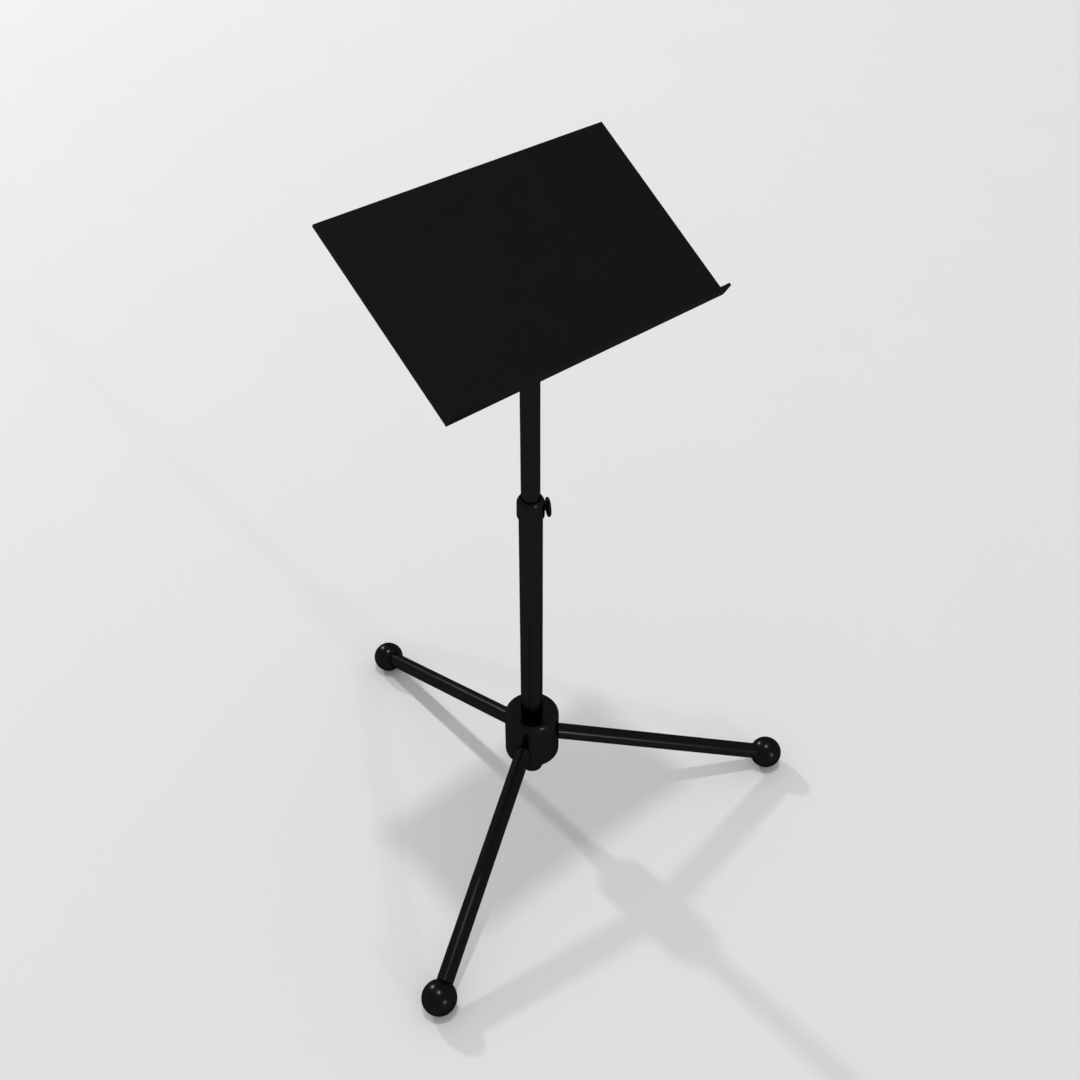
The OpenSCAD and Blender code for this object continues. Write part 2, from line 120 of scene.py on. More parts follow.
def math_node(tree, operation, *values):
    """Result of a Math node on one, two or three values."""
    inputs = dict(enumerate(values))
    return add_node(tree, "ShaderNodeMath", inputs, operation=operation).outputs[0]


def product(tree, first, second):
    """Two values multiplied."""
    return math_node(tree, "MULTIPLY", first, second)


def total(tree, first, second):
    """Two values added."""
    return math_node(tree, "ADD", first, second)


def dot_product(tree, first, second):
    """Dot product of two vectors."""
    inputs = {0: first, 1: second}
    return add_node(tree, "ShaderNodeVectorMath", inputs, operation="DOT_PRODUCT").outputs["Value"]


def scaled(tree, vector, factor):
    """A vector times a number."""
    inputs = {"Vector": vector, "Scale": factor}
    return add_node(tree, "ShaderNodeVectorMath", inputs, operation="SCALE").outputs["Vector"]


def ranged(tree, value, low, high, to_low, to_high):
    """A value carried from one range to another, and held at its ends."""
    inputs = {"Value": value, "From Min": low, "From Max": high, "To Min": to_low, "To Max": to_high}
    return add_node(tree, "ShaderNodeMapRange", inputs, clamp=True).outputs["Result"]


# ---- Finishes ----

def new_finish(name):
    """A material with its tree and the piece's own coordinates."""
    material = bpy.data.materials.new(name)
    material.use_nodes = True
    tree = material.node_tree
    place = add_node(tree, "ShaderNodeTexCoord").outputs["Object"]
    return material, tree, place


def stretched(tree, place, stretch):
    """Coordinates with a scale of their own along each axis."""
    return add_node(tree, "ShaderNodeMapping", {"Vector": place, "Scale": stretch}).outputs["Vector"]


def noise(tree, place, cell, detail=2.0, rough=0.5):
    """Noise whose lumps are about one cell across, in metres."""
    inputs = {"Vector": place, "Scale": 1 / cell, "Detail": detail, "Roughness": rough}
    return add_node(tree, "ShaderNodeTexNoise", inputs).outputs["Fac"]


def relief(tree, height, depth, below=None):
    """Normal of a surface that rises and falls by a depth in metres, on top of a coarser one."""
    inputs = {"Height": height, "Distance": depth, "Strength": 1.0}
    if below is not None:
        inputs["Normal"] = below
    return add_node(tree, "ShaderNodeBump", inputs).outputs["Normal"]


def blended(tree, factor, first, second):
    """Colour between two colours."""
    inputs = {0: factor, 6: first, 7: second}
    return add_node(tree, "ShaderNodeMix", inputs, data_type="RGBA").outputs[2]


def grey(tone, warm=0.0):
    """Colour of a neutral tone, or of a slightly warm one."""
    return (tone * (1 + warm), tone, tone * (1 - warm), 1.0)


def black_gloss(material, colour, roughness, normal):
    """A black finish that mirrors its surroundings evenly, by the share that its colour is."""
    tree = material.node_tree
    tree.nodes.remove(tree.nodes["Principled BSDF"])
    inputs = {"Color": colour, "Roughness": roughness, "Normal": normal}
    gloss = add_node(tree, "ShaderNodeBsdfAnisotropic", inputs, distribution="MULTI_GGX")
    wire(tree, tree.nodes["Material Output"].inputs["Surface"], gloss.outputs["BSDF"])
    return material


def smudges(tree, place, base, spread):
    """Roughness with cloudy handling marks and a finer unevenness."""
    cloud = ranged(tree, noise(tree, place, 45 * MM, 3.0, 0.6), 0.35, 0.7, 0.0, spread)
    fine = ranged(tree, noise(tree, place, 1.4 * MM, 2.0), 0.3, 0.7, 0.0, spread * 0.4)
    return total(tree, total(tree, cloud, base - spread * 0.6), fine)


def scratches(tree, place, stretch, low, high):
    """Share of fine straight scratches along the axis with the smallest stretch."""
    lines = noise(tree, stretched(tree, place, stretch), 1.0, 4.0, 0.7)
    return ranged(tree, lines, low, high, 0.0, 1.0)


def enamel(name, settings, peel=2.4, peel_depth=0.006):
    """Sprayed and stoved satin enamel: orange peel, settled specks and a slightly uneven tone."""
    material, tree, place = new_finish(name)
    broad = ranged(tree, noise(tree, place, 70 * MM, 3.0), 0.3, 0.7, 0.0, 1.0)
    colour = blended(tree, broad, grey(settings.enamel_tone), grey(settings.enamel_tone * 1.1, 0.01))
    specks = ranged(tree, noise(tree, place, 0.5 * MM, 1.0), 0.72, 0.78, 0.0, 1.0)
    colour = blended(tree, specks, colour, grey(settings.enamel_tone * 1.7))
    normal = relief(tree, noise(tree, place, peel * MM, 2.0, 0.45), peel_depth * MM)
    normal = relief(tree, specks, 0.004 * MM, normal)
    return black_gloss(material, colour, smudges(tree, place, settings.enamel_roughness, 0.05), normal)


def sliding_enamel(name, settings):
    """Enamel of a tube that slides in a bush: polished streaks and hair scratches along its length."""
    material, tree, place = new_finish(name)
    streaks = scratches(tree, place, (520.0, 520.0, 3.2), 0.5, 0.72)
    hairs = scratches(tree, place, (2600.0, 2600.0, 14.0), 0.62, 0.7)
    patch = ranged(tree, noise(tree, place, 60 * MM, 2.0), 0.4, 0.62, 0.1, 1.0)
    wear = product(tree, streaks, patch)
    colour = blended(tree, wear, grey(settings.enamel_tone), grey(settings.enamel_tone * 1.25, 0.02))
    colour = blended(tree, hairs, colour, grey(settings.enamel_tone * 1.6))
    rough = total(tree, smudges(tree, place, settings.enamel_roughness, 0.05), product(tree, wear, -0.06))
    normal = relief(tree, noise(tree, place, 2.2 * MM, 2.0, 0.45), 0.005 * MM)
    return black_gloss(material, colour, rough, relief(tree, hairs, -0.003 * MM, normal))


def powder_coat(name, settings):
    """Fine-grained powder coat on sheet steel, with faint rubbing where paper slides on it."""
    material, tree, place = new_finish(name)
    grain = noise(tree, place, 0.55 * MM, 3.0, 0.55)
    swell = noise(tree, place, 3.5 * MM, 2.0, 0.5)
    tone = ranged(tree, grain, 0.35, 0.7, settings.sheet_tone * 0.94, settings.sheet_tone * 1.08)
    rubbed = scratches(tree, place, (6.0, 420.0, 420.0), 0.56, 0.74)
    patch = ranged(tree, noise(tree, place, 120 * MM, 3.0), 0.42, 0.66, 0.0, 1.0)
    tone = total(tree, tone, product(tree, product(tree, rubbed, patch), settings.sheet_tone * 0.12))
    colour = add_node(tree, "ShaderNodeCombineColor", {0: tone, 1: tone, 2: tone}).outputs[0]
    normal = relief(tree, grain, 0.004 * MM, relief(tree, swell, 0.006 * MM))
    return black_gloss(material, colour, smudges(tree, place, settings.powder_roughness, 0.06), normal)


def moulded_nylon(name, settings):
    """Black glass-filled nylon with a spark-eroded mould texture and slight flow clouds."""
    material, tree, place = new_finish(name)
    grain = noise(tree, place, 0.35 * MM, 2.0, 0.6)
    flow = noise(tree, stretched(tree, place, (1.0, 1.0, 2.6)), 9 * MM, 3.0)
    flow = ranged(tree, flow, 0.3, 0.7, 0.0, 1.0)
    colour = blended(tree, flow, grey(settings.plastic_tone), grey(settings.plastic_tone * 1.15))
    roughness = smudges(tree, place, settings.plastic_roughness, 0.08)
    return black_gloss(material, colour, roughness, relief(tree, grain, 0.008 * MM))


def ball_rubber(name, settings, seam_height):
    """Hard moulded rubber with a thin parting line at a height and dusty scuffs near the floor."""
    material, tree, place = new_finish(name)
    height = add_node(tree, "ShaderNodeSeparateXYZ", {0: place}).outputs["Z"]
    off_seam = math_node(tree, "ABSOLUTE", math_node(tree, "SUBTRACT", height, seam_height))
    seam = ranged(tree, off_seam, 0.0, 0.35 * MM, 1.0, 0.0)
    low = ranged(tree, height, 0.0, 9 * MM, 1.0, 0.0)
    scuff = ranged(tree, noise(tree, place, 2.6 * MM, 4.0, 0.65), 0.4, 0.75, 0.0, 1.0)
    scuff = product(tree, low, scuff)
    colour = blended(tree, scuff, grey(settings.rubber_tone), grey(settings.rubber_tone * 1.8, 0.05))
    rough = total(tree, smudges(tree, place, settings.rubber_roughness, 0.05), product(tree, scuff, 0.25))
    skin = relief(tree, noise(tree, place, 1.1 * MM, 2.0, 0.5), 0.003 * MM)
    return black_gloss(material, colour, rough, relief(tree, seam, 0.05 * MM, skin))


def natural_nylon(name, settings):
    """Off-white machined nylon with fine turning lines."""
    material, tree, place = new_finish(name)
    shader = tree.nodes["Principled BSDF"]
    rings = noise(tree, stretched(tree, place, (60.0, 60.0, 3000.0)), 1.0, 2.0, 0.5)
    tint = ranged(tree, noise(tree, place, 8 * MM, 3.0), 0.3, 0.7, 0.0, 1.0)
    dark = tuple(0.86 * part for part in settings.nylon_colour)
    wire(tree, shader.inputs["Base Color"], blended(tree, tint, (*settings.nylon_colour, 1.0), (*dark, 1.0)))
    wire(tree, shader.inputs["Roughness"], ranged(tree, rings, 0.3, 0.7, 0.38, 0.52))
    wire(tree, shader.inputs["Normal"], relief(tree, rings, 0.006 * MM))
    shader.inputs["Specular IOR Level"].default_value = 0.4
    return material


def turned_metal(name, colour, roughness):
    """Bare or plated metal with a fine grain and darker stains."""
    material, tree, place = new_finish(name)
    shader = tree.nodes["Principled BSDF"]
    grain = noise(tree, place, MM / 0.9, 3.0, 0.6)
    stain = ranged(tree, noise(tree, place, 6 * MM, 4.0, 0.6), 0.35, 0.7, 0.0, 1.0)
    dark = tuple(0.62 * part for part in colour)
    wire(tree, shader.inputs["Base Color"], blended(tree, stain, (*colour, 1.0), (*dark, 1.0)))
    rough = ranged(tree, grain, 0.3, 0.7, roughness - 0.06, roughness + 0.08)
    wire(tree, shader.inputs["Roughness"], total(tree, rough, product(tree, stain, 0.08)))
    wire(tree, shader.inputs["Normal"], relief(tree, grain, 0.004 * MM))
    shader.inputs["Metallic"].default_value = 1.0
    return material


def pale_floor(name, tone):
    """Smooth painted studio floor with a very faint mottle, and painted light that makes its colour a little
    paler towards its back.
    """
    material, tree, place = new_finish(name)
    shader = tree.nodes["Principled BSDF"]
    mottle = ranged(tree, noise(tree, place, 0.4, 3.0), 0.3, 0.7, 0.0, 1.0)
    back = add_node(tree, "ShaderNodeSeparateXYZ", {0: place}).outputs["Y"]
    # painted light: the floor's colour brightens towards its back
    painted_light = ranged(tree, back, PAINTED_LIGHT_FROM, PAINTED_LIGHT_TO, 0.0, 1.0)
    colour = blended(tree, painted_light, grey(tone * PAINTED_LIGHT_FRONT_SHARE), grey(tone * PAINTED_LIGHT_BACK_SHARE))
    colour = blended(tree, product(tree, mottle, MOTTLE_SHARE), colour, grey(tone * MOTTLE_TONE))
    wire(tree, shader.inputs["Base Color"], colour)
    grain = noise(tree, place, 4 * MM, 2.0)
    wire(tree, shader.inputs["Roughness"], ranged(tree, grain, 0.3, 0.7, 0.66, 0.7))
    shader.inputs["Specular IOR Level"].default_value = 0.12
    return material


def coat(material, *names):
    """Gives CAD nodes their finish."""
    for name in names:
        slots = NODES[name].data.materials
        slots.clear()
        slots.append(material)


# ---- Shapes ----

def new_piece(name, mesh):
    """An object at the origin with its place in its mesh."""
    piece = bpy.data.objects.new(name, mesh)
    bpy.context.scene.collection.objects.link(piece)
    return piece


def settled(piece):
    """Turns a piece with its modifiers into a plain mesh."""
    graph = bpy.context.evaluated_depsgraph_get()
    mesh = bpy.data.meshes.new_from_object(piece.evaluated_get(graph))
    rough_mesh = piece.data
    piece.modifiers.clear()
    piece.data = mesh
    mesh.name = piece.name
    bpy.data.meshes.remove(rough_mesh)
    return piece


def smooth(mesh, corner=CORNER_ANGLE):
    """Smooth shading that stops at edges sharper than the corner angle."""
    mesh.polygons.foreach_set("use_smooth", [True] * len(mesh.polygons))
    mesh.set_sharp_from_angle(angle=corner)


def merged_mesh(node):
    """A CAD node's shape with its loose triangles joined and its flat faces whole."""
    work = bmesh.new()
    work.from_mesh(NODES[node].data)
    bmesh.ops.remove_doubles(work, verts=work.verts, dist=MERGE_GAP)
    bmesh.ops.dissolve_limit(work, angle_limit=FLAT_ANGLE, verts=work.verts, edges=work.edges)
    work.verts.index_update()
    corners = [vert.co.copy() for vert in work.verts]
    faces = [[vert.index for vert in face.verts] for face in work.faces]
    work.free()
    mesh = bpy.data.meshes.new(node)
    mesh.from_pydata(corners, [], faces)
    return mesh


def edge_broken(node, name, width, material):
    """A CAD node's shape with its sharp edges rounded over, as folding and deburring leave them."""
    mesh = merged_mesh(node)
    smooth(mesh)
    piece = new_piece(name, mesh)
    mesh.materials.append(material)
    bevel = piece.modifiers.new("edges", "BEVEL")
    bevel.width = width
    bevel.segments = 3
    bevel.limit_method = "ANGLE"
    bevel.angle_limit = CORNER_ANGLE
    bevel.harden_normals = True
    return settled(piece)


def solid_middles(node):
    """Middle of each separate solid of a CAD node, from left to right."""
    work = bmesh.new()
    work.from_mesh(NODES[node].data)
    bmesh.ops.remove_doubles(work, verts=work.verts, dist=MERGE_GAP)
    turn = desk_axes()
    waiting = set(work.verts)
    middles = []
    while waiting:
        island = []
        edge_of_search = [waiting.pop()]
        while edge_of_search:
            vert = edge_of_search.pop()
            island.append(vert.co)
            for edge in vert.link_edges:
                other = edge.other_vert(vert)
                if other in waiting:
                    waiting.remove(other)
                    edge_of_search.append(other)
        turned_back = [turn.inverted() @ point for point in island]
        low = Vector(min(point[axis] for point in turned_back) for axis in range(3))
        high = Vector(max(point[axis] for point in turned_back) for axis in range(3))
        middles.append(turn @ ((low + high) / 2))
    work.free()
    return sorted(middles, key=lambda point: tuple(round(part, 5) for part in point))


def desk_axes():
    """Rotation of the desk's own frame: Y up its slope and Z out of its front."""
    return Matrix.Rotation(DESK_TURN, 4, "X")


def turned_mesh(name, profile, sides, place):
    """Closed solid of revolution about its own Z axis, from points of radius and height."""
    work = bmesh.new()
    rings = []
    for radius, height in profile:
        count = sides if radius > 0 else 1
        steps = [2 * math.pi * step / sides for step in range(count)]
        rings.append([
            work.verts.new(place @ Vector((radius * math.cos(turn), radius * math.sin(turn), height)))
            for turn in steps
        ])
    for first, second in zip(rings, rings[1:]):
        for step in range(sides):
            after = (step + 1) % sides
            corners = [first[step % len(first)], first[after % len(first)],
                       second[after % len(second)], second[step % len(second)]]
            work.faces.new(list(dict.fromkeys(corners)))
    bmesh.ops.recalc_face_normals(work, faces=work.faces)
    mesh = bpy.data.meshes.new(name)
    work.to_mesh(mesh)
    work.free()
    smooth(mesh)
    return mesh


def round_rim(radius, start, thick, steps=16):
    """Points of a disc's fully rounded rim, from its back to its face."""
    half = thick / 2
    angles = [math.pi * (step / steps - 0.5) for step in range(steps + 1)]
    return [(radius - half + half * math.cos(turn), start + half + half * math.sin(turn)) for turn in angles]


def in_metres(profile):
    """A profile in millimetres carried to metres."""
    return [(radius * MM, height * MM) for radius, height in profile]


# ---- Geometry Nodes ----

def new_tree(name, sockets):
    """A geometry tree with named inputs, and the sockets that give them."""
    tree = bpy.data.node_groups.new(name, "GeometryNodeTree")
    tree.interface.new_socket("Geometry", in_out="INPUT", socket_type="NodeSocketGeometry")
    for label, kind in sockets.items():
        tree.interface.new_socket(label, in_out="INPUT", socket_type="NodeSocket" + kind)
    tree.interface.new_socket("Material", in_out="INPUT", socket_type="NodeSocketMaterial")
    tree.interface.new_socket("Geometry", in_out="OUTPUT", socket_type="NodeSocketGeometry")
    return tree, add_node(tree, "NodeGroupInput").outputs


def finish_tree(tree, given, geometry, shade_smooth=False):
    """Ends a tree with real geometry in its material."""
    real = add_node(tree, "GeometryNodeRealizeInstances", {"Geometry": geometry}).outputs[0]
    shaded = add_node(tree, "GeometryNodeSetShadeSmooth", {"Geometry": real, "Shade Smooth": shade_smooth})
    painted = {"Geometry": shaded.outputs[0], "Material": given["Material"]}
    add_node(tree, "NodeGroupOutput", {0: add_node(tree, "GeometryNodeSetMaterial", painted).outputs[0]})
    return tree


def grown(piece, tree, values):
    """Runs a tree on a piece with its inputs set, and keeps the plain mesh."""
    modifier = piece.modifiers.new(tree.name, "NODES")
    modifier.node_group = tree
    for item in tree.interface.items_tree:
        if item.in_out == "INPUT" and item.name in values:
            modifier[item.identifier] = values[item.name]
    return settled(piece)


def cylinder(tree, sides, radius, depth, rings=1):
    """A cylinder about the origin."""
    inputs = {"Vertices": sides, "Side Segments": rings, "Radius": radius, "Depth": depth}
    return add_node(tree, "GeometryNodeMeshCylinder", inputs).outputs["Mesh"]


def moved(tree, geometry, offset):
    """Geometry shifted by a vector."""
    return add_node(tree, "GeometryNodeTransform", {"Geometry": geometry, "Translation": offset}).outputs[0]


def shifted(tree, geometry, offset):
    """Geometry whose every point is moved by its own offset."""
    inputs = {"Geometry": geometry, "Offset": offset}
    return add_node(tree, "GeometryNodeSetPosition", inputs).outputs[0]


def cut(tree, operation, first, second):
    """Exact boolean of two solids."""
    node = add_node(tree, "GeometryNodeMeshBoolean", operation=operation)
    tree.links.new(first, node.inputs["Mesh 1" if operation == "DIFFERENCE" else "Mesh 2"])
    tree.links.new(second, node.inputs["Mesh 2"])
    return node.outputs["Mesh"]


def along_z(tree, height):
    """Vector up the Z axis."""
    return add_node(tree, "ShaderNodeCombineXYZ", {"Z": height}).outputs[0]


def on_points(tree, given, shape):
    """The same shape on every point of the tree's geometry, turned as the tree's input says."""
    inputs = {"Points": given["Geometry"], "Instance": shape, "Rotation": given["Rotation"]}
    return add_node(tree, "GeometryNodeInstanceOnPoints", inputs).outputs[0]


def nut_tree():
    """Hexagon nuts with a chamfered free face, a bore and a flange under them."""
    sockets = {"Across Flats": "Float", "Thickness": "Float", "Bore": "Float", "Flange": "Float",
               "Flange Thickness": "Float", "Rotation": "Rotation"}
    tree, given = new_tree("hexagon_nuts", sockets)
    half = product(tree, given["Thickness"], 0.5)
    flats = given["Across Flats"]
    hexagon = cylinder(tree, 6, math_node(tree, "DIVIDE", flats, math.sqrt(3)), given["Thickness"])
    face_radius = product(tree, flats, NUT_FACE_SHARE)
    foot_radius = total(tree, face_radius, product(tree, given["Thickness"], CHAMFER_SLOPE))
    cone = add_node(tree, "GeometryNodeMeshCone", {
        "Vertices": FLANGE_SIDES, "Radius Top": foot_radius, "Radius Bottom": face_radius,
        "Depth": given["Thickness"],
    }).outputs["Mesh"]
    cone = moved(tree, cone, along_z(tree, product(tree, half, -1.0)))
    body = cut(tree, "INTERSECT", hexagon, cone)
    flange_radius = product(tree, given["Flange"], 0.5)
    flange = cylinder(tree, FLANGE_SIDES, flange_radius, given["Flange Thickness"])
    flange_rise = math_node(tree, "SUBTRACT", half, product(tree, given["Flange Thickness"], 0.5))
    body = cut(tree, "UNION", body, moved(tree, flange, along_z(tree, flange_rise)))
    long_bore = product(tree, given["Thickness"], 1.5)
    bore = cylinder(tree, BORE_SIDES, product(tree, given["Bore"], 0.5), long_bore)
    body = cut(tree, "DIFFERENCE", body, bore)
    return finish_tree(tree, given, on_points(tree, given, body))


def stud_tree():
    """Studs with a rolled helical thread and a chamfered free end."""
    sockets = {"Length": "Float", "Diameter": "Float", "Pitch": "Float", "Thread Depth": "Float",
               "Rings": "Int", "Rotation": "Rotation"}
    tree, given = new_tree("threaded_studs", sockets)
    radius = product(tree, given["Diameter"], 0.5)
    rod = cylinder(tree, BORE_SIDES, radius, given["Length"], given["Rings"])
    position = add_node(tree, "GeometryNodeInputPosition").outputs[0]
    parts = add_node(tree, "ShaderNodeSeparateXYZ", {0: position}).outputs
    turn = math_node(tree, "DIVIDE", math_node(tree, "ARCTAN2", parts["Y"], parts["X"]), 2 * math.pi)
    climb = math_node(tree, "SUBTRACT", math_node(tree, "DIVIDE", parts["Z"], given["Pitch"]), turn)
    groove = math_node(tree, "PINGPONG", climb, 0.5)
    from_end = total(tree, parts["Z"], product(tree, given["Length"], 0.5))
    end_cut = ranged(tree, from_end, 0.0, given["Pitch"], 1.2, 0.0)
    inward = total(tree, product(tree, groove, 2.0), end_cut)
    inward = product(tree, math_node(tree, "MINIMUM", inward, 1.3), given["Thread Depth"])
    factor = math_node(tree, "DIVIDE", product(tree, inward, -1.0), radius)
    flat = add_node(tree, "ShaderNodeCombineXYZ", {"X": parts["X"], "Y": parts["Y"]}).outputs[0]
    return finish_tree(tree, given, on_points(tree, given, shifted(tree, rod, scaled(tree, flat, factor))))


def grip_tree():
    """Fine moulded grip ribs round a knob's rim, added to the turned body."""
    sockets = {"Ribs": "Int", "Rim Radius": "Float", "Rim Height": "Float", "Rib Size": "Vector",
               "Axis Rotation": "Rotation", "Axis Place": "Vector"}
    tree, given = new_tree("grip_ribs", sockets)
    inputs = {"Vertices": given["Ribs"], "Radius": given["Rim Radius"]}
    ring = add_node(tree, "GeometryNodeMeshCircle", inputs).outputs[0]
    ring = moved(tree, ring, along_z(tree, given["Rim Height"]))
    index = add_node(tree, "GeometryNodeInputIndex").outputs[0]
    step = math_node(tree, "DIVIDE", 2 * math.pi, given["Ribs"])
    turn = along_z(tree, product(tree, index, step))
    rib = add_node(tree, "GeometryNodeMeshUVSphere", {"Segments": 10, "Rings": 8, "Radius": 1.0}).outputs[0]
    rotation = add_node(tree, "FunctionNodeEulerToRotation", {0: turn}).outputs[0]
    inputs = {"Points": ring, "Instance": rib, "Rotation": rotation, "Scale": given["Rib Size"]}
    ribs = add_node(tree, "GeometryNodeInstanceOnPoints", inputs).outputs[0]
    ribs = add_node(tree, "GeometryNodeRealizeInstances", {0: ribs}).outputs[0]
    ribs = add_node(tree, "GeometryNodeSetShadeSmooth", {0: ribs}).outputs[0]
    inputs = {"Geometry": ribs, "Translation": given["Axis Place"], "Rotation": given["Axis Rotation"]}
    ribs = add_node(tree, "GeometryNodeTransform", inputs).outputs[0]
    both = add_node(tree, "GeometryNodeJoinGeometry")
    tree.links.new(given["Geometry"], both.inputs[0])
    tree.links.new(ribs, both.inputs[0])
    inputs = {"Geometry": both.outputs[0], "Material": given["Material"]}
    painted = add_node(tree, "GeometryNodeSetMaterial", inputs).outputs[0]
    real = add_node(tree, "GeometryNodeRealizeInstances", {0: painted}).outputs[0]
    add_node(tree, "NodeGroupOutput", {0: real})
    return tree


def weld_tree():
    """Rippled weld beads along the edges of the tree's geometry."""
    sockets = {"Bead Radius": "Float", "Ripple Pitch": "Float", "Ripple Height": "Float",
               "Direction": "Vector"}
    tree, given = new_tree("weld_beads", sockets)
    line = add_node(tree, "GeometryNodeMeshToCurve", {0: given["Geometry"]}).outputs[0]
    short = math_node(tree, "DIVIDE", given["Ripple Pitch"], 6.0)
    inputs = {"Curve": line, "Length": short}
    line = add_node(tree, "GeometryNodeResampleCurve", inputs, mode="LENGTH").outputs[0]
    inputs = {"Resolution": BEAD_SIDES, "Radius": given["Bead Radius"]}
    section = add_node(tree, "GeometryNodeCurvePrimitiveCircle", inputs).outputs[0]
    inputs = {"Curve": line, "Profile Curve": section, "Fill Caps": True}
    bead = add_node(tree, "GeometryNodeCurveToMesh", inputs).outputs[0]
    position = add_node(tree, "GeometryNodeInputPosition").outputs[0]
    along = dot_product(tree, position, given["Direction"])
    ripples = math_node(tree, "DIVIDE", along, given["Ripple Pitch"])
    wave = math_node(tree, "SINE", product(tree, ripples, 2 * math.pi))
    wander = noise(tree, position, 3.125 * MM)
    lift = product(tree, total(tree, wave, wander), given["Ripple Height"])
    normal = add_node(tree, "GeometryNodeInputNormal").outputs[0]
    bead = shifted(tree, bead, scaled(tree, normal, lift))
    return finish_tree(tree, given, bead, shade_smooth=True)


def points_piece(name, points, edges=()):
    """A piece that holds only points, or points and lines, for a tree to build on."""
    mesh = bpy.data.meshes.new(name)
    mesh.from_pydata(points, edges, [])
    return new_piece(name, mesh)


# ---- Settings ----

def tone_property(name, text, default):
    """A share from 0 to 1."""
    return bpy.props.FloatProperty(name=name, description=text, default=default, min=0.0, max=1.0,
                                   subtype="FACTOR", precision=4)


def length_property(name, text, default):
    """A length in metres."""
    return bpy.props.FloatProperty(name=name, description=text, default=default, min=0.0, unit="LENGTH",
                                   precision=5)


def power_property(name, text, default):
    """A lamp's power in watts."""
    return bpy.props.FloatProperty(name=name, description=text, default=default, min=0.0, unit="POWER")


def colour_property(name, text, default):
    """A colour."""
    return bpy.props.FloatVectorProperty(name=name, description=text, default=default, min=0.0, max=1.0,
                                         subtype="COLOR")


class StandFinishSettings(bpy.types.PropertyGroup):
    """Colours and gloss of the stand's finishes."""
    enamel_tone: tone_property("Enamel Tone", "Share of light that the black enamel reflects", 0.0118)
    sheet_tone: tone_property("Powder Coat Tone", "Share of light that the desk reflects", 0.0138)
    plastic_tone: tone_property("Plastic Tone", "Share of light that the black plastic reflects", 0.012)
    rubber_tone: tone_property("Rubber Tone", "Share of light that the ball feet reflect", 0.0116)
    enamel_roughness: tone_property("Enamel Roughness", "How satin the enamel is", 0.24)
    powder_roughness: tone_property("Powder Coat Roughness", "How matt the desk's powder coat is", 0.26)
    plastic_roughness: tone_property("Plastic Roughness", "How matt the moulded plastic is", 0.28)
    rubber_roughness: tone_property("Rubber Roughness", "How matt the ball feet are", 0.26)
    nylon_colour: colour_property("Nylon", "Colour of the natural nylon bushes", (0.72, 0.70, 0.64))
    brass_colour: colour_property("Brass", "Colour of the threaded inserts", (0.71, 0.52, 0.24))
    steel_colour: colour_property("Plug Steel", "Colour of the turned plugs", (0.45, 0.45, 0.46))
    fastener_colour: colour_property("Fastener Steel", "Colour of the screws and nuts", (0.045, 0.045, 0.05))


class StandShapeSettings(bpy.types.PropertyGroup):
    """Sizes of the details that the CAD frame leaves plain."""
    sheet_edge: length_property("Sheet Edge", "Rounding of the desk's folded edges", 0.4 * MM)
    fitting_edge: length_property("Fitting Edge", "Rounding of the head's and bracket's edges", 0.5 * MM)
    ledge_nut_flats: length_property("Ledge Nut", "Width across flats of the ledge's nuts", 7.0 * MM)
    ledge_nut_thick: length_property("Ledge Nut Thickness", "Thickness of the ledge's nuts", 3.2 * MM)
    bracket_nut_flats: length_property("Bracket Nut", "Width across flats of the bracket's nuts", 8.0 * MM)
    bracket_nut_thick: length_property("Bracket Nut Thickness", "Thickness of the bracket's nuts", 5.2 * MM)
    grip_ribs: bpy.props.IntProperty(name="Grip Ribs", description="Moulded ribs round each knob's rim",
                                     default=44, min=12, max=90)
    grip_height: length_property("Grip Height", "How far the ribs stand out of the rim", 0.3 * MM)
    weld_size: length_property("Weld Size", "Radius of the weld beads at the bracket's ears", 1.8 * MM)


class StandStageSettings(bpy.types.PropertyGroup):
    """Floor, lights and camera."""
    floor_tone: tone_property("Floor Tone", "How pale the floor is", 0.8)
    sky: tone_property("Ambient Light", "Strength of the even light all round", 0.56)
    light_distance: length_property("Light Distance", "Distance of the studio lights from the stand", 24.0)
    back_power: power_property("Back Light", "Power of the light behind the stand", 1490.0)
    top_power: power_property("Top Light", "Power of the light overhead", 1170.0)
    front_power: power_property("Front Light", "Power of the light in front of the stand", 610.0)
    glint: bpy.props.FloatProperty(name="Glint", description="Extra share of light that shiny finishes catch",
                                   default=1.2, min=0.0)


class StandSettings(bpy.types.PropertyGroup):
    """All settings of the music stand."""
    finish: bpy.props.PointerProperty(type=StandFinishSettings, name="Finish", description="Finishes")
    shape: bpy.props.PointerProperty(type=StandShapeSettings, name="Shape", description="Details")
    stage: bpy.props.PointerProperty(type=StandStageSettings, name="Stage", description="Stage")


# ---- Operators ----

class StandOperator:
    """What the stand's operators share."""
    bl_options = {"REGISTER", "UNDO"}


def kept(piece, body, slot, *nodes):
    """Records the body that a new piece rides on and hides the nodes that it stands for; the finish slot is
    not used.
    """
    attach(piece, body)
    if nodes:
        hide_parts(*nodes)


class MUSICSTAND_OT_hub_and_legs(StandOperator, bpy.types.Operator):
    """Paint the hub and the legs, and finish the plugs and grub screws inside them"""
    bl_idname = "music_stand.hub_and_legs"
    bl_label = "Hub and Legs"

    def execute(self, context):
        finish = context.scene.music_stand.finish
        sides = ("front_left", "front_right", "back")
        coat(enamel("hub_enamel", finish, 3.0, 0.009), "hub")
        coat(enamel("leg_enamel", finish, 2.4, 0.006), *[side + "_leg" for side in sides])
        coat(turned_metal("plug_steel", finish.steel_colour, 0.34),
             *[side + end for side in sides for end in ("_root_plug", "_foot_plug")])
        screws = turned_metal("black_zinc", finish.fastener_colour, 0.38)
        coat(screws, "pole_set_screws", "leg_set_screws")
        return {"FINISHED"}


